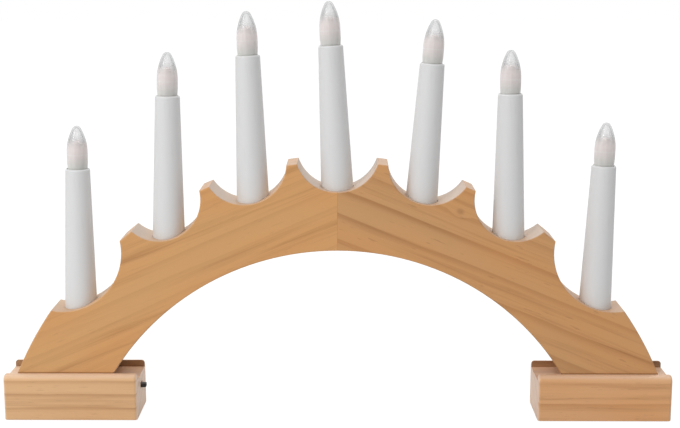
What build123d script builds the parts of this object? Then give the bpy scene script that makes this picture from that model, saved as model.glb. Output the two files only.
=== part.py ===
from build123d import *
import os
from math import acos, asin, cos, degrees, radians, sin, sqrt, tan

# A lighted candle arch: a scalloped pine arch of two halves stands in the grooves of two feet
# and carries seven plastic candles. The left foot hides two cells, and its slide switch shows
# as a black knob at the inner end. Sizes are millimetres. X runs along the arch, the front
# faces -Y, Z is up, and the origin is on the table, midway between the feet.

# Feet
foot_length = 80.0
foot_inner_land = 16.45
foot_height = 28.0
groove_depth = 4.0
groove_clearance = 0.1
rail_width = 4.4
rail_land = 0.4
foot_edge_round = 1.8
foot_bottom_round = 0.6

# Arch
arch_thickness = 27.0
opening_height = 103.35
opening_radius = 157.0
leg_width = 51.7
crown_width = 40.4
crown_lift = 12.65
arch_edge_round = 0.6
dowel_diameter = 6.0
dowel_length = 30.0
dowel_end_gap = 1.0
dowel_rise = 8.0
dowel_spacing = 18.0
dowel_forward = 8.0

# Scalloped cups along the crown
cup_peak_width = 5.4
cup_stand = 6.6
cup_angle_share = 0.22745
end_cup_radius = 36.0
end_cup_stand = 20.1
end_cup_angle_share = 0.7161

# Candle tubes and their pockets
candle_offset_shares = (0.24, 0.165, 0.173, 0.0, -0.203, -0.124, -0.24)
candle_leans = (0.6, 0.8, -1.4, -2.6, 3.8, -0.5, 1.6)
pocket_depth = 6.0
pocket_depth_shares = (0.65, 0.57, 0.25, 0.52, 1.0, 0.35, 0.28)
pocket_clearance = 0.1
tube_length = 87.9
tube_base_radius = 9.7
tube_top_radius = 7.2
tube_wall = 1.0
tube_top_round = 0.9
drop_bore_diameter = 5.0

# Lamp holders, lamps and flame caps
holder_clearance = 0.1
holder_plug_length = 8.0
holder_sink = 1.0
holder_neck_radius = 4.7
holder_neck_height = 9.0
holder_bore_radius = 4.0
holder_roof = 1.5
cap_radius = 6.1
cap_height = 26.4
cap_base_radius = 5.7
cap_base_height = 5.0
cap_wall = 0.8
cap_nose_radius = 31.0
cap_nose_angle = 28.0
lamp_radius = 2.5
lamp_body_height = 6.1
lamp_flange_radius = 2.9
lamp_flange_height = 1.0
lamp_leg_radius = 0.25
lamp_leg_length = 6.0
lamp_leg_spacing = 2.54
leg_hole_clearance = 0.15

# Wire channel, nets and cover strips
channel_offset = 20.0
channel_width = 5.0
wire_radius = 0.65
drop_wire_radius = 0.5
wire_floor_gap = 0.1
wire_bend_radius = 8.0
lead_bend_radius = 3.0
strip_width = 9.0
strip_thickness = 1.5
strip_clearance = 0.1

# Wood screws through the feet into the legs
screw_spacing = 26.0
screw_length = 25.0
screw_radius = 2.0
screw_head_radius = 3.8
screw_head_height = 2.2
screw_tip_length = 4.0
screw_drive_radius = 1.5
screw_drive_depth = 1.2
screw_access_clearance = 0.7

# Battery box, set up into the left foot
end_wall = 3.0
box_gap = 0.2
box_wall = 1.4
under_recess = 0.5
cell_radius = 5.25
cell_length = 44.5
cell_nub_radius = 1.9
cell_nub_height = 1.2
cell_edge_round = 0.5
cell_side_gap = 0.35
cell_top_gap = 0.3
leaf_space = 3.5
plate_space = 1.2
tower_room = 6.8
tower_gap = 0.15
ceiling_gap = 2.2
post_width = 1.3
box_boss_radius = 3.0
box_screw_inset = 6.0
box_screw_length = 9.0
box_screw_radius = 1.2
box_screw_head_radius = 2.2
box_screw_head_height = 1.2
contact_thickness = 0.4
contact_width = 8.0

# Battery door
door_thickness = 1.6
door_clearance = 0.25
door_seat_gap = 0.05
door_notch_radius = 5.0
door_notch_depth = 0.8
door_rib_count = 3
door_rib_pitch = 2.4
door_rib_width = 1.0
door_rib_depth = 0.5
snap_length = 4.0
snap_height = 0.7
snap_stand = 0.15

# Slide switch
lever_height = 17.0
lever_size = 2.4
lever_depth = 3.2
lever_reach = 3.3
lever_root = 1.2
lever_travel = 2.6
lever_clearance = 0.4
lever_end_round = 0.6
switch_length = 10.6
switch_depth = 4.0
switch_width = 4.8
frame_thickness = 0.35
terminal_thickness = 0.4
terminal_width = 1.2
terminal_length = 1.6
terminal_pitch = 3.0
resistor_radius = 0.9
resistor_length = 6.0
resistor_gap = 1.0
lead_radius = 0.5
lead_hole_clearance = 0.1

# Overrun of every cutting tool past the face it starts from
overrun = 2.0

# Places worked out from the sizes above
groove_width = arch_thickness + 2 * groove_clearance
foot_depth = groove_width + 2 * rail_width
foot_round = rail_width - rail_land
leg_floor = foot_height - groove_depth
opening_centre_z = opening_height - opening_radius
leg_inner_x = sqrt(opening_radius**2 - (leg_floor - opening_centre_z)**2)
inner_end_x = leg_inner_x - foot_inner_land
foot_middle_x = inner_end_x + foot_length / 2
shoulder_radius = opening_radius + leg_width
toe_angle = degrees(acos((leg_floor - opening_centre_z) / shoulder_radius))
cup_angle = toe_angle * cup_angle_share
end_cup_angle = toe_angle * end_cup_angle_share
crown_radius = opening_radius + crown_width
crown_centre_z = opening_centre_z + crown_lift
cup_half_chord = crown_radius * sin(radians(cup_angle / 2)) - cup_peak_width / 2
cup_radius = sqrt(cup_half_chord**2 + cup_stand**2)
channel_radius = opening_radius + channel_offset
wire_y = lamp_leg_spacing / 2
channel_floor_y = -(wire_y + wire_radius + wire_floor_gap)
cell_bay_length = leaf_space + cell_length + plate_space
box_length = 3 * box_wall + cell_bay_length + tower_room
box_width = 2 * (box_wall + 2 * cell_radius + cell_side_gap)
door_top = under_recess + door_thickness
cell_z = door_top + cell_top_gap + cell_radius
box_top = cell_z + cell_radius + cell_top_gap + box_wall
ceiling_z = box_top + ceiling_gap
switch_top = lever_height + switch_width / 2 + frame_thickness
tower_top = switch_top + tower_gap + box_wall
box_inner_x = -(inner_end_x + end_wall + box_gap)
box_outer_x = box_inner_x - box_length
tower_x = box_inner_x - 2 * box_wall - tower_room
cell_x = box_outer_x + box_wall + leaf_space
rest_lever_y = -lever_travel / 2


def between(x_low, x_high, y_low, y_high, z_low, z_high):
    """A block between two corners."""
    centre = Pos((x_low + x_high) / 2, (y_low + y_high) / 2, (z_low + z_high) / 2)
    return centre * Box(x_high - x_low, y_high - y_low, z_high - z_low)


def round_bar(radius, x, y, z_low, z_high):
    """An upright round bar."""
    return Pos(x, y, (z_low + z_high) / 2) * Cylinder(radius, z_high - z_low)


def turned(outline):
    """A body turned about Z from an outline of X, Z points."""
    return revolve(Plane.XZ * make_face(Polyline(*outline, close=True)), Axis.Z)


def on_circle(centre_z, radius, angle):
    """A point of the arch's plane, an angle away from the top of a circle on its middle line."""
    return (radius * sin(radians(angle)), centre_z + radius * cos(radians(angle)))


def mirrored(point):
    """The same point of the arch's plane on its left side."""
    return (-point[0], point[1])


def cup_centres():
    """The middle and radius of each cup from left to right."""
    middle_radius = crown_radius + cup_stand
    cups = [on_circle(crown_centre_z, middle_radius, step * cup_angle) + (cup_radius,)
            for step in (-2, -1, 0, 1, 2)]
    end = on_circle(crown_centre_z, crown_radius + end_cup_stand, end_cup_angle)
    return [mirrored(end) + (end_cup_radius,)] + cups + [end + (end_cup_radius,)]


def candle_places():
    """X, Z and lean of each candle where its tube stands on the floor of its pocket."""
    places = []
    for cup, offset, share, lean in zip(cup_centres(), candle_offset_shares,
                                        pocket_depth_shares, candle_leans):
        floor_z = cup[1] - cup[2] - pocket_depth * share
        places.append((cup[0] + cup[2] * offset, floor_z, lean))
    return places


def candle_frame(place):
    """The frame of a candle: its origin on the pocket floor and Z along the tube."""
    return Location((place[0], 0, place[1]), (0, place[2], 0))


def drop_length(place, radius):
    """How far below a pocket floor the candle's axis meets a circle about the opening's middle."""
    lean = radians(place[2])
    rise = place[1] - opening_centre_z
    along = place[0] * sin(lean) + rise * cos(lean)
    return along - sqrt(along**2 - place[0]**2 - rise**2 + radius**2)


def arch_outline():
    """The arch as sawn from the board, before its cups are cut."""
    reach = shoulder_radius + overrun
    middle = Rectangle(2 * cup_centres()[-1][0], 2 * reach)
    crown = Pos(0, crown_centre_z) * Circle(crown_radius) & middle
    shoulders = Pos(0, opening_centre_z) * Circle(shoulder_radius) - middle
    opening = Pos(0, opening_centre_z) * Circle(opening_radius)
    below = Pos(0, leg_floor - reach) * Rectangle(2 * reach, 2 * reach)
    return crown + shoulders - opening - below


def arch_blank():
    """The whole arch with its cups cut and its front and back edges eased."""
    outline = arch_outline()
    for x, z, radius in cup_centres():
        outline -= Pos(x, z) * Circle(radius)
    board = extrude(Plane.XZ * outline, amount=arch_thickness / 2, both=True)
    rims = board.faces().filter_by(Axis.Y).edges()
    return fillet(rims, arch_edge_round)


def outer_candle_x():
    """Distance of the outer candles from the middle."""
    return candle_places()[-1][0]


def channel_end_angle():
    """The angle at which the channel reaches the outer candles' drop bores."""
    return degrees(asin(outer_candle_x() / channel_radius))


def ring_sector(radius, width, y_low, y_high, angle_low, angle_high):
    """A curved bar about the opening's middle, between two angles from the top."""
    half = width / 2
    middle = (angle_low + angle_high) / 2
    inner = [on_circle(opening_centre_z, radius - half, a) for a in (angle_low, middle, angle_high)]
    outer = [on_circle(opening_centre_z, radius + half, a) for a in (angle_high, middle, angle_low)]
    face = make_face([
        ThreePointArc(*inner),
        Line(inner[2], outer[0]),
        ThreePointArc(*outer),
        Line(outer[2], inner[0]),
    ])
    return extrude(Plane.XZ.offset(-y_high) * face, amount=y_high - y_low)


def strip_end_angle():
    """Where the cover strips and their rebate stop, just past the channel."""
    return channel_end_angle() + degrees(strip_width / 2 / channel_radius)


def wire_ways():
    """What is routed and drilled for the wires: the channel, its rebate and the drop bores."""
    back = arch_thickness / 2
    end = channel_end_angle()
    rebate_end = strip_end_angle()
    ways = ring_sector(channel_radius, channel_width, channel_floor_y, back + overrun, -end, end)
    ways += ring_sector(channel_radius, strip_width + 2 * strip_clearance,
                        back - strip_thickness, back + overrun, -rebate_end, rebate_end)
    for place in candle_places():
        depth = drop_length(place, channel_radius)
        bore = round_bar(drop_bore_diameter / 2, 0, 0, -depth, overrun)
        ways += candle_frame(place) * bore
    return ways + foot_bore(leg_floor - overrun, on_circle(opening_centre_z, channel_radius, end)[1])


def foot_bore(z_low, z_high):
    """The upright bore that takes the wires down the left leg and into its foot."""
    return round_bar(drop_bore_diameter / 2, -outer_candle_x(), 0, z_low, z_high)


def screw_places(side):
    """X of the two wood screws of a foot: side is -1 on the left and 1 on the right."""
    return [side * (outer_candle_x() + step * screw_spacing / 2) for step in (-1, 1)]


def wood_screw():
    """A countersunk screw along Z with its head's flat face at the origin."""
    outline = [
        (0, 0),
        (screw_head_radius, 0),
        (screw_radius, screw_head_height),
        (screw_radius, screw_length - screw_tip_length),
        (0, screw_length),
    ]
    return turned(outline)


def foot_screws():
    """The four screws, with their driver recesses."""
    screw = wood_screw() - round_bar(screw_drive_radius, 0, 0, 0, screw_drive_depth)
    return [Pos(x, 0, ceiling_z) * screw for side in (-1, 1) for x in screw_places(side)]


def dowel_places():
    """Heights of the two dowels in the middle joint."""
    low = opening_height + dowel_rise
    return [low, low + dowel_spacing]


def dowels(length):
    """The dowels of the middle joint, or with a longer length their holes."""
    return [Pos(0, -dowel_forward, z) * Rot(0, 90, 0) * Cylinder(dowel_diameter / 2, length)
            for z in dowel_places()]


def arch_half(side):
    """One half of the arch, with its pockets, wire ways, dowel holes and screw holes."""
    arch = arch_blank()
    pocket_radius = tube_base_radius + pocket_clearance
    for place in candle_places():
        arch -= candle_frame(place) * round_bar(pocket_radius, 0, 0, 0, cup_radius)
    arch -= wire_ways()
    for hole in dowels(dowel_length + 2 * dowel_end_gap):
        arch -= hole
    for x in screw_places(side):
        arch -= Pos(x, 0, ceiling_z) * wood_screw()
    reach = shoulder_radius + overrun
    low, high = sorted((0, side * reach))
    return arch & between(low, high, -arch_thickness, arch_thickness, 0, reach)


def channel_strip(side):
    """The thin strip that closes one half of the wire channel, flush with the back."""
    back = arch_thickness / 2
    end = strip_end_angle() - degrees(strip_clearance / channel_radius)
    low, high = sorted((0, side * end))
    return ring_sector(channel_radius, strip_width, back - strip_thickness, back, low, high)


def foot_block(side):
    """A foot with its rounded long edges and its through groove."""
    middle = side * foot_middle_x
    half = foot_depth / 2
    block = between(middle - foot_length / 2, middle + foot_length / 2, -half, half, 0, foot_height)
    block = fillet(block.edges().filter_by(Axis.X).group_by(Axis.Z)[-1], foot_round)
    ends = block.faces().filter_by(Axis.X)
    upper = ends.edges().filter_by(lambda edge: edge.center().Z > foot_bottom_round)
    block = fillet(upper, foot_edge_round)
    block = fillet(block.faces().sort_by(Axis.Z)[0].edges(), foot_bottom_round)
    groove = between(middle - foot_length, middle + foot_length, -groove_width / 2, groove_width / 2,
                     leg_floor, foot_height + overrun)
    return block - groove


def foot_right():
    """The solid right foot, counterbored from below for its screws."""
    foot = foot_block(1)
    access = screw_head_radius + screw_access_clearance
    for x in screw_places(1):
        foot -= round_bar(access, x, 0, -overrun, ceiling_z)
        foot -= Pos(x, 0, ceiling_z) * wood_screw()
    return foot


def lever_slot(x_low, x_high):
    """The slot in which the lever slides, through a wall between two X."""
    half = (lever_depth + lever_travel) / 2 + lever_clearance
    rise = lever_size / 2 + lever_clearance
    return between(x_low, x_high, -half, half, lever_height - rise, lever_height + rise)


def foot_left():
    """The left foot, hollowed from below for the battery box."""
    foot = foot_block(-1)
    half = box_width / 2 + box_gap
    inner = box_inner_x + box_gap
    foot -= between(box_outer_x - box_gap, inner, -half, half, -overrun, ceiling_z)
    foot -= between(tower_x - box_gap, inner, -half, half, -overrun, tower_top + box_gap)
    for x in screw_places(-1):
        foot -= Pos(x, 0, ceiling_z) * wood_screw()
    for x, y in box_screw_places():
        foot -= Pos(x, y, box_top - box_wall) * box_screw()
    foot -= foot_bore(ceiling_z - overrun, leg_floor + overrun)
    return foot - lever_slot(inner - overrun, inner + end_wall + overrun)


def box_screw_places():
    """X and Y of the two screws that hold the battery box, above the cells' outer flanks."""
    y = box_width / 2 - box_wall - box_screw_head_radius - door_seat_gap
    return [(box_outer_x + box_screw_inset, y), (tower_x - box_screw_inset, -y)]


def box_screw():
    """A small countersunk screw with its head's flat face at the origin, pointing up."""
    outline = [
        (0, 0),
        (box_screw_head_radius, 0),
        (box_screw_radius, box_screw_head_height),
        (box_screw_radius, box_screw_length - box_screw_head_height),
        (0, box_screw_length),
    ]
    return turned(outline)


def box_screws():
    """The two screws of the battery box, with their driver recesses."""
    recess = round_bar(box_screw_radius, 0, 0, 0, box_screw_head_height / 2)
    return [Pos(x, y, box_top - box_wall) * (box_screw() - recess) for x, y in box_screw_places()]


def battery_box():
    """The moulded box: a cell bay, and beside it a taller tower for the switch."""
    half = box_width / 2
    room = half - box_wall
    box = between(box_outer_x, box_inner_x, -half, half, under_recess, box_top)
    box += between(tower_x, box_inner_x, -half, half, under_recess, tower_top)
    box -= between(box_outer_x + box_wall, tower_x, -room, room, under_recess - overrun,
                   box_top - box_wall)
    box -= between(tower_x + box_wall, box_inner_x - box_wall, -room, room,
                   under_recess - overrun, tower_top - box_wall)
    box -= between(tower_x - overrun, tower_x + box_wall + overrun, -room, room,
                   under_recess - overrun, door_top + door_seat_gap)
    post_top = box_top - box_wall
    post_x = box_outer_x + box_wall
    for y in (-room, room - post_width):
        box += between(post_x, post_x + post_width, y, y + post_width,
                       door_top + door_seat_gap, post_top)
    for x, y in box_screw_places():
        box += round_bar(box_boss_radius, x, y, box_top, ceiling_z)
        box -= Pos(x, y, box_top - box_wall) * box_screw()
    for hole in lead_holes():
        box -= hole
    box -= lever_slot(box_inner_x - box_wall - overrun, box_inner_x + overrun)
    wire_way = wire_y + 2 * wire_radius
    box -= between(tower_x - overrun, tower_x + box_wall + overrun, -wire_way, wire_way,
                   box_top, ceiling_z)
    return box


def battery_door():
    """The door's plate, with a finger notch, grip grooves and small snaps on its long sides."""
    low_x = box_outer_x + box_wall + door_clearance
    high_x = box_inner_x - box_wall - door_clearance
    half = box_width / 2 - box_wall - door_clearance
    door = between(low_x, high_x, -half, half, under_recess, door_top)
    notch = Pos(low_x, 0, under_recess) * Cylinder(door_notch_radius, 2 * door_notch_depth)
    door -= notch
    for step in range(door_rib_count):
        x = low_x + door_notch_radius + (step + 1) * door_rib_pitch
        door -= between(x, x + door_rib_width, -door_notch_radius, door_notch_radius,
                        under_recess, under_recess + door_rib_depth)
    middle_x = (low_x + high_x) / 2
    middle_z = under_recess + door_thickness / 2
    for side in (-1, 1):
        y_low, y_high = sorted((side * half, side * (half + snap_stand)))
        door += between(middle_x - snap_length / 2, middle_x + snap_length / 2, y_low, y_high,
                        middle_z - snap_height / 2, middle_z + snap_height / 2)
    return door


def battery_cell(side):
    """A cell along X: on one side its nub points to the switch, on the other away from it."""
    body_length = cell_length - cell_nub_height
    body = fillet(Cylinder(cell_radius, body_length).edges(), cell_edge_round)
    nub = Pos(0, 0, body_length / 2 + cell_nub_height / 2) * Cylinder(cell_nub_radius, cell_nub_height)
    middle_x = cell_x + cell_length / 2 - side * cell_nub_height / 2
    y = side * (cell_radius + cell_side_gap / 2)
    return Pos(middle_x, y, cell_z) * Rot(0, side * 90, 0) * (body + nub)


def leaf_contact(face_x, y, gap, direction):
    """A flat plate on a wall, with a bent tongue that bridges the gap to a cell's end."""
    half = contact_width / 2
    plate_x = face_x + direction * contact_thickness
    low, high = sorted((face_x, plate_x))
    plate = between(low, high, y - half, y + half, cell_z - half, cell_z + half)
    tip_x = face_x + direction * gap
    quarter = contact_width / 4
    tongue = make_face(Polyline(
        (plate_x, cell_z - quarter),
        (tip_x, cell_z - contact_thickness),
        (tip_x, cell_z + contact_thickness),
        (plate_x, cell_z + quarter),
        (plate_x, cell_z + quarter - contact_thickness),
        (tip_x - direction * contact_thickness, cell_z),
        (plate_x, cell_z - quarter + contact_thickness),
        close=True))
    half_tongue = quarter / 2
    return plate + extrude(Plane.XZ.offset(-y - half_tongue) * tongue, amount=2 * half_tongue)


def battery_contacts():
    """One bridging plate at the outer end, and two single plates on the tower's wall."""
    y = cell_radius + cell_side_gap / 2
    outer_x = box_outer_x + box_wall
    bridge = between(outer_x, outer_x + contact_thickness, -y, y,
                     cell_z - contact_width / 4, cell_z + contact_width / 4)
    pair = leaf_contact(outer_x, -y, leaf_space, 1) + leaf_contact(outer_x, y, leaf_space, 1) + bridge
    singles = [leaf_contact(tower_x, side * y, plate_space, -1) for side in (-1, 1)]
    return [pair] + singles


def switch_front_x():
    """The face on which the switch's frame lies, inside the end wall of the box."""
    return box_inner_x - box_wall


def switch_base():
    """The moulded base of the switch, which carries the slider."""
    front = switch_front_x() - frame_thickness
    half = switch_length / 2
    base = between(front - switch_depth, front, -half, half,
                   lever_height - switch_width / 2, lever_height + switch_width / 2)
    room_y = (lever_depth + lever_travel) / 2 + lever_clearance
    room_z = lever_size / 2 + lever_clearance
    return base - between(front - lever_root - lever_clearance, front + overrun, -room_y, room_y,
                          lever_height - room_z, lever_height + room_z)


def switch_frame():
    """The bent metal frame that holds the base against the box's end wall."""
    front = switch_front_x()
    half = switch_length / 2
    room = switch_width / 2
    frame = between(front - switch_depth, front, -half, half,
                    lever_height - room - frame_thickness, lever_height + room + frame_thickness)
    frame -= between(front - switch_depth - overrun, front - frame_thickness, -half, half,
                     lever_height - room, lever_height + room)
    return frame - lever_slot(front - frame_thickness - overrun, front + overrun)


def switch_lever():
    """The black lever, shown at its OFF end, sticking out of the foot's inner end."""
    root_x = switch_front_x() - frame_thickness - lever_root
    tip_x = lever_reach - inner_end_x
    half = lever_size / 2
    low_y = rest_lever_y - lever_depth / 2
    lever = between(root_x, tip_x, low_y, low_y + lever_depth, lever_height - half, lever_height + half)
    return fillet(lever.faces().sort_by(Axis.X)[-1].edges(), lever_end_round)


def terminal_x():
    """The back of the switch's base, where its terminals come out."""
    return switch_front_x() - frame_thickness - switch_depth


def switch_terminals():
    """Three flat pins out of the back of the switch."""
    high = terminal_x()
    pins = [between(high - terminal_length, high, y - terminal_width / 2, y + terminal_width / 2,
                    lever_height - terminal_thickness / 2, lever_height + terminal_thickness / 2)
            for y in (-terminal_pitch, 0, terminal_pitch)]
    return pins


def swept_wire(path, radius):
    """A round wire along a path."""
    start = Plane(path @ 0, z_dir=path % 0)
    return sweep(start * Circle(radius), path=path)


def wire_run_z():
    """Height of the two nets where they lie on the battery box."""
    return box_top + wire_radius + wire_floor_gap


def net_path(end_x):
    """One net's main wire: along the channel, down the left leg and over the box to an X."""
    end = channel_end_angle()
    right = on_circle(opening_centre_z, channel_radius, end)
    main = ThreePointArc(right, (0, opening_centre_z + channel_radius), mirrored(right))
    bend = JernArc(start=main @ 1, tangent=main % 1, radius=wire_bend_radius, arc_size=90 - end)
    foot = Vector((bend @ 1).X, wire_run_z() + lead_bend_radius)
    down = Line(bend @ 1, foot)
    turn = JernArc(start=foot, tangent=(0, -1), radius=lead_bend_radius, arc_size=90)
    run = Line(turn @ 1, (end_x, wire_run_z()))
    return Wire([*main.edges(), *bend.edges(), *down.edges(), *turn.edges(), *run.edges()])


def lamp_seat():
    """Height along a candle's axis at which its lamp's flange rests on the holder's neck."""
    return tube_length - holder_sink + holder_neck_height


def harness(side, end_x):
    """One net: its main wire, and the seven drops that hang from the lamps' legs."""
    y = side * wire_y
    net = swept_wire(Plane.XZ.offset(-y) * net_path(end_x), wire_radius)
    for place in candle_places():
        drop = round_bar(drop_wire_radius, 0, y, -drop_length(place, channel_radius),
                         lamp_seat() - lamp_leg_length)
        net += candle_frame(place) * drop
    return net


def resistor_inner_x():
    """The end of the resistor next to the switch's tower."""
    return tower_x - resistor_gap


def series_resistor():
    """A small resistor in line with the positive wire, lying on the battery box."""
    body = Cylinder(resistor_radius, resistor_length)
    body = fillet(body.edges(), resistor_radius / 3)
    middle_x = resistor_inner_x() - resistor_length / 2
    return Pos(middle_x, wire_y, box_top + resistor_radius) * Rot(0, 90, 0) * body


def terminal_middle_x():
    """The middle of the switch's terminals along X."""
    return terminal_x() - terminal_length / 2


def battery_leads():
    """Three short leads in the tower: resistor to switch, switch to cell, cell to the other net."""
    contact_y = cell_radius + cell_side_gap / 2
    middle_x = terminal_middle_x()
    under_terminal = lever_height - terminal_thickness / 2 - 2 * lead_radius
    to_switch = FilletPolyline(
        (resistor_inner_x(), wire_y, box_top + resistor_radius),
        (tower_x + box_wall, wire_y, box_top + resistor_radius),
        (middle_x, 0, under_terminal),
        radius=lead_radius * 2)
    to_cell = FilletPolyline(
        (tower_x, contact_y, cell_z),
        (middle_x, contact_y, cell_z),
        (middle_x, terminal_pitch, under_terminal),
        radius=lead_radius * 2)
    to_net = FilletPolyline(
        (tower_x, -contact_y, cell_z),
        (middle_x, -contact_y, cell_z),
        (middle_x, -wire_y, wire_run_z() - wire_radius - lead_radius * 2),
        radius=lead_radius * 2)
    return [swept_wire(path, lead_radius) for path in (to_switch, to_cell, to_net)]


def lead_holes():
    """The holes in the tower's wall for the leads of the two single contacts."""
    contact_y = cell_radius + cell_side_gap / 2
    hole = Rot(0, 90, 0) * Cylinder(lead_radius + lead_hole_clearance, 2 * box_wall + overrun)
    return [Pos(tower_x + box_wall, side * contact_y, cell_z) * hole for side in (-1, 1)]


def candle_tube():
    """A hollow tapered tube, open at both ends, with a softly rounded mouth."""
    outline = [
        (tube_base_radius, 0),
        (tube_top_radius, tube_length),
        (tube_top_radius - tube_wall, tube_length),
        (tube_base_radius - tube_wall, 0),
    ]
    tube = turned(outline)
    mouth = tube.edges().group_by(Axis.Z)[-1].sort_by(SortBy.RADIUS)[-1]
    return fillet(mouth, tube_top_round)


def lamp_holder():
    """A plug in the tube's mouth with a neck that stands up inside the flame cap."""
    plug = tube_top_radius - tube_wall - holder_clearance
    top = tube_length - holder_sink
    outline = [
        (0, top - holder_plug_length),
        (plug, top - holder_plug_length),
        (plug, top),
        (holder_neck_radius, top),
        (holder_neck_radius, top + holder_neck_height),
        (0, top + holder_neck_height),
    ]
    holder = turned(outline)
    holder -= round_bar(holder_bore_radius, 0, 0, top - holder_plug_length - overrun,
                        top + holder_neck_height - holder_roof)
    for side in (-1, 1):
        hole = round_bar(lamp_leg_radius + leg_hole_clearance, 0, side * wire_y,
                         top, top + holder_neck_height + overrun)
        holder -= hole
    return holder


def lamp():
    """A round-nosed LED with its flange on the holder's neck, and its two legs."""
    seat = lamp_seat()
    body = round_bar(lamp_flange_radius, 0, 0, seat, seat + lamp_flange_height)
    body += round_bar(lamp_radius, 0, 0, seat, seat + lamp_body_height)
    body += Pos(0, 0, seat + lamp_body_height) * Sphere(lamp_radius)
    for side in (-1, 1):
        body += round_bar(lamp_leg_radius, 0, side * wire_y, seat - lamp_leg_length, seat)
    return body


def nose_outline(wall):
    """Half of the flame cap's outline, drawn in by a wall, as a closed face."""
    radius = cap_radius - wall
    nose = cap_nose_radius - wall
    turn = radians(cap_nose_angle)
    tip_from_x = radius - nose * (1 - cos(turn))
    outer_tip_x = cap_radius - cap_nose_radius * (1 - cos(turn))
    outer_tip_rise = outer_tip_x / cos(turn) - outer_tip_x * tan(turn)
    nose_start = cap_height - cap_nose_radius * sin(turn) - outer_tip_rise
    tip_radius = tip_from_x / cos(turn)
    tip_centre_z = nose_start + nose * sin(turn) - tip_from_x * tan(turn)
    half_turn = turn / 2
    tip_half = (radians(90) + turn) / 2
    edges = [
        Line((0, 0), (cap_base_radius - wall, 0)),
        Line((cap_base_radius - wall, 0), (radius, cap_base_height)),
        Line((radius, cap_base_height), (radius, nose_start)),
        ThreePointArc((radius, nose_start),
                      (radius - nose * (1 - cos(half_turn)), nose_start + nose * sin(half_turn)),
                      (tip_from_x, nose_start + nose * sin(turn))),
        ThreePointArc((tip_from_x, nose_start + nose * sin(turn)),
                      (tip_radius * cos(tip_half), tip_centre_z + tip_radius * sin(tip_half)),
                      (0, tip_centre_z + tip_radius)),
        Line((0, tip_centre_z + tip_radius), (0, 0)),
    ]
    return make_face(edges)


def flame_cap():
    """A clear hollow cap in the form of a candle flame, open below, on the holder's plug."""
    shell = revolve(Plane.XZ * (nose_outline(0) - nose_outline(cap_wall)), Axis.Z)
    return Pos(0, 0, tube_length - holder_sink) * shell


def export(name, shape):
    """Write one node."""
    export_step(shape, f"parts/{name}.step")


os.makedirs("parts", exist_ok=True)

export("arch_left", arch_half(-1))
export("arch_right", arch_half(1))
export("arch_dowels", Compound(dowels(dowel_length)))
export("channel_strip_left", channel_strip(-1))
export("channel_strip_right", channel_strip(1))
export("foot_left", foot_left())
export("foot_right", foot_right())
export("foot_screws", Compound(foot_screws()))
export("battery_box", battery_box())
export("box_screws", Compound(box_screws()))
export("battery_door", battery_door())
export("battery_cell_1", battery_cell(1))
export("battery_cell_2", battery_cell(-1))
export("battery_contacts", Compound(battery_contacts()))
export("switch_base", switch_base())
export("switch_frame", switch_frame())
export("switch_lever", switch_lever())
export("switch_terminals", Compound(switch_terminals()))
export("series_resistor", series_resistor())
export("battery_leads", Compound(battery_leads()))
export("harness_plus", harness(1, resistor_inner_x() - resistor_length))
export("harness_minus", harness(-1, terminal_middle_x() + lead_radius))

for number, place in enumerate(candle_places(), start=1):
    frame = candle_frame(place)
    export(f"candle_tube_{number}", frame * candle_tube())
    export(f"lamp_holder_{number}", frame * lamp_holder())
    export(f"led_{number}", frame * lamp())
    export(f"flame_cap_{number}", frame * flame_cap())
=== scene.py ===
from math import atan2, cos, radians, sin
import bmesh
import bpy
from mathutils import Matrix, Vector


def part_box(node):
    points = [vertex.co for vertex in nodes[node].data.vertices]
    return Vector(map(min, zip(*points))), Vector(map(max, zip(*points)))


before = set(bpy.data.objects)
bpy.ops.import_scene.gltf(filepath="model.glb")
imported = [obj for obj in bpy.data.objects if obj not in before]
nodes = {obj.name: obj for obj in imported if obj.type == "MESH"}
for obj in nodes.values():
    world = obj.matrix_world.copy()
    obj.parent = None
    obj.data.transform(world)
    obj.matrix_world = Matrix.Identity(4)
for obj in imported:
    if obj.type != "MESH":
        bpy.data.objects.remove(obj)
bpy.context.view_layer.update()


# Feet. Two blocks of planed pine, each with a groove cut along its top for a leg of the arch.
# Their edges are rounded over, and the grain runs along them, so the ends show the rings. The
# walls of the groove are darkened a little with painted shade.


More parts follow.
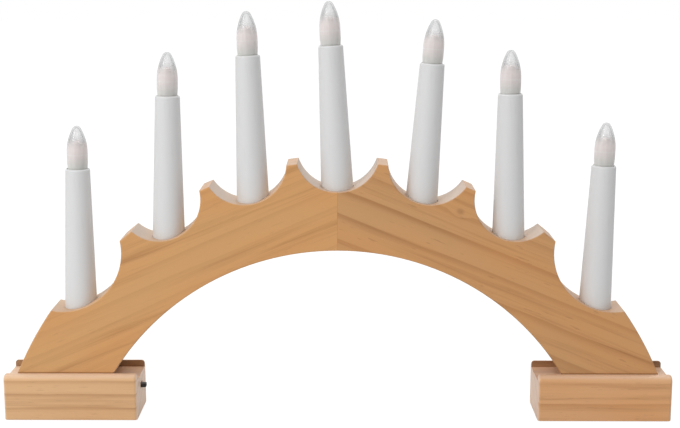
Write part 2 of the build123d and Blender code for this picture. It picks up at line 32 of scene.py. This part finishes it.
class Tone:
    """A socket of a finish. Sums and products of it add the Math nodes that work them out."""

    def __init__(self, tree, socket):
        self.tree = tree
        self.socket = socket

    def add(self, kind, settings, sockets, output=0):
        """Adds a node, with its settings first and then the values or links of its sockets."""
        made = self.tree.nodes.new(kind)
        for name, value in settings.items():
            setattr(made, name, value)
        for name, value in sockets.items():
            if isinstance(value, Tone):
                self.tree.links.new(value.socket, made.inputs[name])
            else:
                made.inputs[name].default_value = value
        return Tone(self.tree, made.outputs[output]) if made.outputs else None

    def maths(self, operation, first, second=0.0):
        return self.add("ShaderNodeMath", {"operation": operation}, {0: first, 1: second})

    def __add__(self, other):
        return self.maths("ADD", self, other)

    def __sub__(self, other):
        return self.maths("SUBTRACT", self, other)

    def __rsub__(self, other):
        return self.maths("SUBTRACT", other, self)

    def __mul__(self, other):
        return self.maths("MULTIPLY", self, other)

    def __truediv__(self, other):
        return self.maths("DIVIDE", self, other)

    def __pow__(self, other):
        return self.maths("POWER", self, other)

    __radd__ = __add__
    __rmul__ = __mul__

    def part(self, operation):
        """One of the one-sided sums, such as FRACT, FLOOR or ABSOLUTE."""
        return self.maths(operation, self)

    def rise(self, low, high):
        """0 below low and 1 above high, with a soft step between."""
        return self.add("ShaderNodeMapRange", {"interpolation_type": "SMOOTHSTEP"},
                        {"Value": self, "From Min": low, "From Max": high})

    def stretched(self, scale):
        """This place with each direction scaled by itself, in turns per metre."""
        return self.add("ShaderNodeMapping", {}, {"Vector": self, "Scale": scale})

    def grain_of(self, detail, roughness=0.5):
        """Soft noise from 0 to 1 over this place."""
        return self.add("ShaderNodeTexNoise", {},
                        {"Vector": self, "Scale": 1.0, "Detail": detail, "Roughness": roughness})

    def axis(self, index):
        """One of the three numbers of a place."""
        return self.add("ShaderNodeSeparateXYZ", {}, {0: self}, index)

    def blended(self, low, high):
        """A colour that goes from low, where this is 0, to high, where it is 1."""
        return self.add("ShaderNodeMix", {"data_type": "RGBA"}, {0: self, 6: low, 7: high}, 2)


def colour(red, green, blue):
    """A colour as a picture shows it, from 0 to 255, turned into the shader's own numbers."""
    def light(level):
        share = level / 255
        return share / 12.92 if share <= 0.04045 else ((share + 0.055) / 1.055) ** 2.4
    return (light(red), light(green), light(blue), 1.0)


def finish(name, roughness=0.5, metallic=0.0, specular=0.5):
    """A new finish, with its shader and the place on the piece that its pattern reads."""
    made = bpy.data.materials.new(name)
    made.use_nodes = True
    tree = made.node_tree
    shader = tree.nodes["Principled BSDF"]
    shader.inputs["Roughness"].default_value = roughness
    shader.inputs["Metallic"].default_value = metallic
    shader.inputs["Specular IOR Level"].default_value = specular
    place = Tone(tree, tree.nodes.new("ShaderNodeTexCoord").outputs["Object"])
    return made, shader, place


def feed(shader, name, value):
    """Links a worked out value to one of the shader's sockets."""
    value.tree.links.new(value.socket, shader.inputs[name])


def relief(shader, height, strength, depth):
    """Gives the surface a fine relief of a depth in metres."""
    feed(shader, "Normal", height.add("ShaderNodeBump", {}, {
        "Strength": strength, "Distance": depth, "Height": height}))


def cover(node, material):
    """Gives a carried-over piece its finish."""
    slots = nodes[node].data.materials
    slots.clear()
    slots.append(material)


LATE_WOOD = colour(156, 104, 56)
WARM_WOOD = colour(216, 150, 86)
FLECK_AND_SHADOW_WOOD = colour(140, 92, 52)
KNOT_WOOD = colour(140, 92, 54)
GROOVE_SHADE_WOOD = colour(104, 68, 42)
KNOT_REACH = 0.009
KNOT_CORE = 0.0034


def late_growth(board, heart, bend, ring_width, first_year):
    """How late in its year the wood grew, from 0 in spring to 1 at the dark line before winter.

    The rings run round the tree's heart, at a height and depth off the board. Bend moves them
    in or out by metres that vary over the board. Each year has a strength of its own.
    """
    height = board.axis(2) - heart[0]
    depth = board.axis(1) - heart[1]
    turns = ((height * height + depth * depth) ** 0.5 + bend) / ring_width
    ring = turns.part("FRACT")
    year = turns.part("FLOOR") + first_year
    chance = year.add("ShaderNodeTexWhiteNoise", {"noise_dimensions": "1D"}, {"W": year})
    darkening = ring.rise(0.6, 0.95) ** 1.5 * 0.8 + ring.rise(0.0, 0.9) ** 2.0 * 0.2
    return darkening * (1 - ring.rise(0.95, 1.0)) * (chance * 0.6 + 0.4)


def pine(name, early, ends_and_sheen, *, grain_angle, heart, ring_width, first_year, late_share,
         drift_depth=0.004, fleck_share=0.2, knot=None, seat=None, groove=None):
    """Sawn pine of an early wood's colour, with another colour where the grain is cut across
    and, as a painted pale sheen, on faces that look up.

    The board is turned by its grain angle in degrees. A knot has a place along and above the
    turned board. A seat is the height at which the board enters its foot, with a painted shadow
    line, and a groove is the depth from the middle within which the walls get painted shade.
    """
    made, shader, place = finish(name)
    facing = place.add("ShaderNodeTexCoord", {}, {}, "Normal")
    board = place.add("ShaderNodeMapping", {},
                      {"Vector": place, "Rotation": (0, radians(grain_angle), 0)})

    # Patterns, all drawn out along the grain
    drift = board.stretched((5, 16, 16)).grain_of(1.0) - 0.5
    waver = board.stretched((18, 90, 90)).grain_of(2.0) - 0.5
    fibre = board.stretched((26, 1300, 1300)).grain_of(3.0, 0.6)
    streak = board.stretched((9, 260, 260)).grain_of(2.0, 0.55)
    duct = board.stretched((110, 2300, 2300)).grain_of(1.0).rise(0.7, 0.78)
    cloud = board.stretched((7, 22, 22)).grain_of(2.0).rise(0.35, 0.75)
    fleck = board.stretched((75, 620, 620)).grain_of(2.0, 0.6).rise(0.66, 0.74)
    bend = drift * drift_depth + waver * 0.0012
    if knot:
        spot = ((board.axis(0) - knot[0]) ** 2 + ((board.axis(2) - knot[1]) * 1.3) ** 2) ** 0.5
        bend = bend + (1 - spot.rise(0.0, KNOT_REACH)) * 0.004
    late = late_growth(board, heart, bend, ring_width, first_year)

    # Colours of the wood itself
    wood = (late * late_share).blended(early, LATE_WOOD)
    wood = (cloud * 0.55).blended(wood, WARM_WOOD)
    stripes = ((streak - 0.5) * 1.3 + (fibre - 0.5) * 0.6 + 0.1).rise(0.0, 1.0)
    wood = stripes.blended(wood, LATE_WOOD)
    wood = (duct * 0.3).blended(wood, FLECK_AND_SHADOW_WOOD)
    wood = (fleck * fleck_share).blended(wood, FLECK_AND_SHADOW_WOOD)

    # Cut ends are paler, faces that look up get a painted pale sheen, and the joint in the
    # middle of the arch is a fine dark line
    along = (cos(radians(grain_angle)), 0.0, sin(radians(grain_angle)))
    across = facing.add("ShaderNodeVectorMath", {"operation": "DOT_PRODUCT"},
                        {0: facing, 1: along}, "Value").part("ABSOLUTE").rise(0.35, 0.9)
    wood = (across * (0.85 - late * 0.4)).blended(wood, ends_and_sheen)
    wood = (facing.axis(2).rise(0.3, 0.9) * 0.4).blended(wood, ends_and_sheen)
    joint = 1 - place.axis(0).part("ABSOLUTE").rise(0.0001, 0.0004)
    wood = (joint * 0.16).blended(wood, FLECK_AND_SHADOW_WOOD)
    if knot:
        core = 1 - spot.rise(0.0006, KNOT_CORE)
        wood = (core * 0.4).blended(wood, KNOT_WOOD)
    # The walls of the groove are darkened with painted shade.
    if groove:
        wall = facing.axis(1).part("ABSOLUTE").rise(0.5, 0.9)
        inside = 1 - place.axis(1).part("ABSOLUTE").rise(groove, groove + 0.001)
        wood = (wall * inside * 0.6).blended(wood, GROOVE_SHADE_WOOD)
    # Just above and below the seat the board is darkened with a painted shadow line.
    if seat:
        shadow_line = 1 - place.axis(2).rise(seat + 0.0002, seat + 0.0011)
        wood = (shadow_line * 0.85).blended(wood, FLECK_AND_SHADOW_WOOD)
    feed(shader, "Base Color", wood)
    feed(shader, "Roughness", (fibre - 0.5) * 0.2 + 0.44 - late * 0.1)

    # The saw leaves fine marks on every face but the planed front and back
    sawn = 1 - facing.axis(1).part("ABSOLUTE").rise(0.2, 0.8)
    chatter = place.stretched((700, 30, 700)).grain_of(1.0) * sawn
    relief(shader, fibre * 0.5 + late * 0.4 - duct * 0.4 + chatter * 0.6, 0.35, 0.00018)
    return made


board_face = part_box("arch_left")[1].y
groove_wall = board_face + 0.0007
# The left foot's ends and tops are painted paler than the right foot's: painted light that lifts
# its inner end, which faces away from the left lamp.
cover("foot_left", pine(
    "pine_foot_left", colour(224, 180, 133), colour(242, 219, 201), grain_angle=0,
    heart=(-0.052, 0.034), ring_width=0.0066, first_year=3, late_share=0.45,
    drift_depth=0.002, groove=groove_wall))
cover("foot_right", pine(
    "pine_foot_right", colour(225, 179, 135), colour(224, 201, 184), grain_angle=0,
    heart=(-0.060, 0.040), ring_width=0.01024, first_year=11, late_share=0.58,
    drift_depth=0.002, groove=groove_wall))


# Arch. Two halves sawn from pine boards, butted in the middle over two beech dowels. The grain
# of each rises towards the middle, and the cups are cut across it, so their flanks show end
# grain. The legs stand in the grooves of the feet, held by screws from below.

foot_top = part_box("foot_left")[1].z
arch_ends_and_sheen = colour(204, 186, 170)
cover("arch_left", pine(
    "pine_arch_left", colour(210, 160, 103), arch_ends_and_sheen, grain_angle=23,
    heart=(-0.034, 0.052), ring_width=0.0105, first_year=21, late_share=0.22,
    drift_depth=0.016, fleck_share=0.12, seat=foot_top))
cover("arch_right", pine(
    "pine_arch_right", colour(200, 152, 101), arch_ends_and_sheen, grain_angle=-22,
    heart=(0.034, 0.058), ring_width=0.01103, first_year=40, late_share=0.8,
    drift_depth=0.006, fleck_share=0.3, knot=(0.0192, 0.1447), seat=foot_top))
cover("arch_dowels", pine(
    "beech_dowels", colour(214, 178, 140), colour(226, 208, 194), grain_angle=0,
    heart=(0.0, 0.02), ring_width=0.0016, first_year=5, late_share=0.25))


# Channel strips. Thin pine strips that close the wire channel in the back of the arch. They
# are glued into a rebate, flush with the board, and look a little paler than it.

for side, angle in (("left", 25), ("right", -25)):
    cover(f"channel_strip_{side}", pine(
        f"pine_strip_{side}", colour(214, 168, 116), colour(214, 196, 180), grain_angle=angle,
        heart=(0.08, 0.05), ring_width=0.0045, first_year=60 + angle, late_share=0.35))


# Candle tubes. Hollow tapered tubes of injection-moulded white plastic, with a softly rounded
# mouth, a faint sheen and the two fine parting lines that the mould leaves along their sides.

CANDLES = range(1, 8)
PARTING_WIDTH = 0.00022
WOOD_REFLECTION_HEIGHT = 0.02


def corners(node):
    """The corners of a carried-over piece's mesh, each once."""
    piece = nodes[node]
    places = {tuple(round(value, 6) for value in piece.matrix_world @ corner.co)
              for corner in piece.data.vertices}
    return [Vector(place) for place in sorted(places)]


def middle(points):
    return sum(points, Vector()) / len(points)


def stand(number):
    """The centre of a candle's foot and its lean in radians, read from its tube and cap."""
    tube = corners(f"candle_tube_{number}")
    centre = middle(tube)
    along = middle(corners(f"flame_cap_{number}")) - centre
    lean = atan2(along.x, along.z)
    upward = Vector((sin(lean), 0, cos(lean)))
    drop = upward.dot(min(tube, key=upward.dot) - centre)
    return centre + upward * drop, lean


def own_place(place, number):
    """The place on a piece of a candle, measured from the candle's foot along its own axis."""
    foot, lean = stand(number)
    moved = place.add("ShaderNodeVectorMath", {"operation": "SUBTRACT"},
                      {0: place, 1: (foot.x, 0, foot.z)})
    return moved.add("ShaderNodeMapping", {}, {"Vector": moved, "Rotation": (0, -lean, 0)})


def candle_plastic(number):
    """White plastic with faint flow lines along the tube, small scuffs and a warm painted
    reflection of the wood at its foot.
    """
    made, shader, place = finish(f"candle_plastic_{number}", specular=0.45)
    own = own_place(place, number)
    flow = own.stretched((160, 160, 12)).grain_of(2.0)
    mottle = own.stretched((700, 700, 420)).grain_of(2.0)
    scuff = own.stretched((900, 900, 60)).grain_of(1.0).rise(0.62, 0.8)
    parting = 1 - own.axis(1).part("ABSOLUTE").rise(0.00006, PARTING_WIDTH)
    # A warm painted reflection of the wood tints the tube near its foot.
    foot = 1 - own.axis(2).rise(0.0, WOOD_REFLECTION_HEIGHT)
    shade = (flow * 0.3 + mottle * 0.15 + scuff * 0.25).blended(
        colour(224, 224, 224), colour(212, 212, 212))
    shade = (foot * 0.3).blended(shade, colour(224, 220, 214))
    feed(shader, "Base Color", shade)
    feed(shader, "Roughness", 0.33 + flow * 0.08 + scuff * 0.15)
    shader.inputs["Subsurface Weight"].default_value = 0.12
    shader.inputs["Subsurface Radius"].default_value = (0.004, 0.0036, 0.003)
    shader.inputs["Subsurface Scale"].default_value = 1.0
    relief(shader, mottle * 0.3 + flow * 0.3 + parting, 0.3, 0.00008)
    return made


for number in CANDLES:
    cover(f"candle_tube_{number}", candle_plastic(number))


# Lamp holders and lamps. White plastic plugs pressed into the tubes, each with a neck that
# stands up inside the cap and carries a lamp of milky resin on its flat top.

holder_white, shader, place = finish("holder_white", roughness=0.55)
speck = place.stretched((900, 900, 900)).grain_of(2.0)
feed(shader, "Base Color", speck.blended(colour(236, 234, 231), colour(224, 221, 218)))
relief(shader, speck, 0.3, 0.00006)

lamp_resin, shader, place = finish("lamp_resin")
haze = place.stretched((260, 260, 260)).grain_of(2.0)
feed(shader, "Base Color", haze.blended(colour(246, 236, 232), colour(240, 226, 220)))
feed(shader, "Roughness", 0.1 + haze * 0.12)

for number in CANDLES:
    cover(f"lamp_holder_{number}", holder_white)
    cover(f"led_{number}", lamp_resin)


# Flame caps. Hollow clear plastic caps in the form of a flame, frosted inside but for the tip,
# so that the lamp glows through them. They stand on the holders, inside the tubes' mouths. Their
# foot, below the top of the holder's neck, is painted greyer as painted shade, and a fine
# painted highlight marks the rim of the lamp.

NECK_FOOT = 0.0889
NECK_TOP = 0.0964
LAMP_RIM_FOOT = 0.0958
LAMP_RIM_TOP = 0.0969
LAMP_RIM_BLUR = 0.0004
FROST_FADES = 0.099
FROST_ENDS = 0.1085


def flame_plastic(number):
    """Clear plastic, with frost and other zones at heights in metres above the candle's foot."""
    made, shader, place = finish(f"flame_plastic_{number}")
    own = own_place(place, number)
    height = own.axis(2)
    frost = 1 - height.rise(FROST_FADES, FROST_ENDS)
    # Below the top of the holder's neck the cap is painted greyer and less clear, as painted
    # shade.
    low = 1 - height.rise(NECK_FOOT, NECK_TOP)
    # A fine painted highlight marks the rim of the lamp.
    lamp_rim_highlight = (height.rise(LAMP_RIM_FOOT, LAMP_RIM_FOOT + LAMP_RIM_BLUR)
                * (1 - height.rise(LAMP_RIM_TOP - LAMP_RIM_BLUR, LAMP_RIM_TOP)))
    streak = own.stretched((700, 700, 40)).grain_of(2.0)
    # At grazing angles the cap is painted dark grey and less clear, a painted shade for the dark
    # rim that refraction gives.
    rim_shade = place.add("ShaderNodeLayerWeight", {}, {"Blend": 0.35}, "Facing") ** 1.1
    tint = frost.blended(colour(224, 225, 226), colour(251, 243, 241))
    tint = (low * 0.8).blended(tint, colour(226, 227, 222))
    tint = (lamp_rim_highlight * 0.7).blended(tint, colour(255, 252, 250))
    tint = (rim_shade * (1 - frost * 0.8)).blended(tint, colour(84, 88, 92))
    feed(shader, "Base Color", tint)
    feed(shader, "Alpha", 0.12 + frost * 0.42 + low * 0.1 + rim_shade * 0.6 + (streak - 0.5) * 0.2)
    feed(shader, "Roughness", 0.06 + frost * 0.3)
    relief(shader, streak, 0.2, 0.00006)
    return made


for number in CANDLES:
    cover(f"flame_cap_{number}", flame_plastic(number))


# Wires. Two insulated wires run in the channel, with a drop to each lamp, and three short
# leads join cells, switch and resistor in the box. Their covers are smooth coloured plastic,
# and the resistor is glazed, with fine brown bands.


def wire_cover(name, shade, dark):
    """Soft plastic that wear has darkened in places."""
    made, shader, place = finish(name)
    wear = place.stretched((300, 300, 300)).grain_of(2.0)
    feed(shader, "Base Color", wear.blended(shade, dark))
    feed(shader, "Roughness", 0.3 + wear * 0.15)
    return made


cover("harness_plus", wire_cover("wire_red", colour(150, 40, 32), colour(120, 30, 26)))
cover("harness_minus", wire_cover("wire_black", colour(40, 40, 42), colour(26, 26, 28)))
cover("battery_leads", wire_cover("wire_white", colour(214, 210, 200), colour(190, 186, 176)))

BANDS_PER_METRE = 1100
resistor_glaze, shader, place = finish("resistor_glaze", roughness=0.3)
turn = (place.axis(0) * BANDS_PER_METRE).part("FRACT")
ring_band = turn.rise(0.5, 0.56) * (1 - turn.rise(0.82, 0.88))
feed(shader, "Base Color", ring_band.blended(colour(206, 178, 130), colour(104, 52, 30)))
cover("series_resistor", resistor_glaze)


# Battery box and door. Black moulded plastic with a fine spark-eroded texture. The box is held
# up into the left foot by two small screws, and the door snaps into it flush with the wood.


def black_plastic(name, level, roughness):
    """Dark plastic of a grey level from 0 to 255, with a fine grit and a little dust."""
    made, shader, place = finish(name)
    grit = place.stretched((1500, 1500, 1500)).grain_of(2.0)
    dust = place.stretched((60, 60, 60)).grain_of(3.0).rise(0.4, 0.8)
    feed(shader, "Base Color", (grit * 0.4 + dust * 0.5).blended(
        colour(level, level, level), colour(level + 20, level + 20, level + 19)))
    feed(shader, "Roughness", roughness - 0.05 + grit * 0.15)
    relief(shader, grit, 0.5, 0.00008)
    return made


cover("battery_box", black_plastic("box_black", 34, 0.5))
cover("battery_door", black_plastic("door_black", 38, 0.48))


# Cells, contacts and screws. Two slim cells lie side by side in the box, each in a sleeve of
# two colours without words, against springy contacts of nickel-plated steel. The screws are
# zinc-plated.

sleeve_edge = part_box("battery_cell_1")[0].x + 0.0295
cell_sleeve, shader, place = finish("cell_sleeve", metallic=0.6)
band = place.axis(0).rise(sleeve_edge - 0.0002, sleeve_edge + 0.0002)
scratch = place.stretched((60, 900, 900)).grain_of(2.0)
feed(shader, "Base Color", band.blended(colour(62, 66, 74), colour(176, 130, 70)))
feed(shader, "Roughness", 0.25 + scratch * 0.15)
cover("battery_cell_1", cell_sleeve)
cover("battery_cell_2", cell_sleeve)


def plated(name, shade, dark, roughness):
    """Plated steel, finely brushed along the piece."""
    made, shader, place = finish(name, metallic=1.0)
    brush = place.stretched((200, 1800, 1800)).grain_of(2.0)
    feed(shader, "Base Color", brush.blended(shade, dark))
    feed(shader, "Roughness", roughness + brush * 0.12)
    relief(shader, brush, 0.2, 0.00003)
    return made


nickel = plated("nickel", colour(200, 196, 186), colour(170, 166, 158), 0.24)
zinc = plated("zinc", colour(196, 190, 172), colour(160, 154, 136), 0.3)
for node in ("battery_contacts", "switch_terminals", "switch_frame"):
    cover(node, nickel)
for node in ("foot_screws", "box_screws"):
    cover(node, zinc)


# Slide switch. Its black lever sticks out of the inner end of the left foot as a small knob,
# and its dark grey base and metal frame lie inside the box behind it.

cover("switch_base", black_plastic("switch_grey", 60, 0.5))
cover("switch_lever", black_plastic("lever_black", 22, 0.38))


# Table, backdrop and light. A white table that runs on behind the arch, a soft lamp high on the
# left in front, a second one overhead and a little behind, and an even pale sky. The table lies
# a hair under the feet, so that the two never share a plane.

TABLE_REACH = 6.0
TABLE_DROP = 0.0004
SKY_STRENGTH = 0.52
WHITE = (1.0, 1.0, 1.0, 1.0)

table_top = bmesh.new()
bmesh.ops.create_grid(table_top, x_segments=1, y_segments=1, size=TABLE_REACH)
bmesh.ops.translate(table_top, verts=table_top.verts, vec=(0, 0, -TABLE_DROP))
table_mesh = bpy.data.meshes.new("table")
table_top.to_mesh(table_mesh)
table_top.free()
table = bpy.data.objects.new("table", table_mesh)
bpy.context.scene.collection.objects.link(table)

table_white = bpy.data.materials.new("table_white")
table_white.use_nodes = True
tree = table_white.node_tree
tree.nodes.clear()
ray = Tone(tree, tree.nodes.new("ShaderNodeLightPath").outputs["Is Camera Ray"])
paint = ray.add("ShaderNodeBsdfDiffuse", {}, {"Color": (0.8, 0.8, 0.8, 1.0)})
glow = ray.add("ShaderNodeEmission", {}, {"Color": WHITE, "Strength": 1.18})
mixed = ray.add("ShaderNodeMixShader", {}, {0: ray * 0.8, 1: paint, 2: glow})
mixed.add("ShaderNodeOutputMaterial", {}, {"Surface": mixed})
table_mesh.materials.append(table_white)

world = bpy.data.worlds.new("pale_sky")
bpy.context.scene.world = world
world.use_nodes = True
tree = world.node_tree
tree.nodes.clear()
paths = tree.nodes.new("ShaderNodeLightPath")
seen = Tone(tree, paths.outputs["Is Camera Ray"])
passed = Tone(tree, paths.outputs["Is Transmission Ray"])
mirrored = Tone(tree, paths.outputs["Is Glossy Ray"])
white = seen.maths("MAXIMUM", seen.maths("MAXIMUM", seen, passed), mirrored)
sky = white.add("ShaderNodeBackground", {}, {
    "Color": WHITE, "Strength": white * (1 - SKY_STRENGTH) + SKY_STRENGTH})
sky.add("ShaderNodeOutputWorld", {}, {"Surface": sky})


def soft_lamp(name, place, aim, size, power):
    """A square lamp that shines from a place at a point."""
    data = bpy.data.lights.new(name, "AREA")
    data.shape = "SQUARE"
    data.size = size
    data.energy = power
    lamp = bpy.data.objects.new(name, data)
    lamp.location = place
    lamp.rotation_euler = (Vector(aim) - Vector(place)).to_track_quat("-Z", "Y").to_euler()
    bpy.context.scene.collection.objects.link(lamp)


soft_lamp("left_lamp", place=(-1.0, -1.0, 0.9), aim=(0, 0, 0.1), size=0.8, power=10.5)
soft_lamp("top_lamp", place=(0.1, 0.3, 1.5), aim=(0, 0, 0.1), size=1.0, power=8.0)


# Camera. It looks slightly down on the front of the arch, from the place and at the angle that
# the feet, the groove and the crown of the photograph give.

PICTURE_WIDTH = 680
FOCAL_PIXELS = 1299.2
SENSOR_WIDTH = 36.0
LOOK_DOWN = 10.69
TURN_LEFT = 0.39

lens = bpy.data.cameras.new("camera")
lens.sensor_fit = "HORIZONTAL"
lens.sensor_width = SENSOR_WIDTH
lens.lens = FOCAL_PIXELS / PICTURE_WIDTH * SENSOR_WIDTH
camera = bpy.data.objects.new("camera", lens)
camera.location = (0.00665, -0.76104, 0.2666)
camera.rotation_euler = (radians(90 - LOOK_DOWN), 0, radians(TURN_LEFT))
bpy.context.scene.collection.objects.link(camera)
bpy.context.scene.camera = camera
bpy.context.scene.view_settings.view_transform = "Standard"
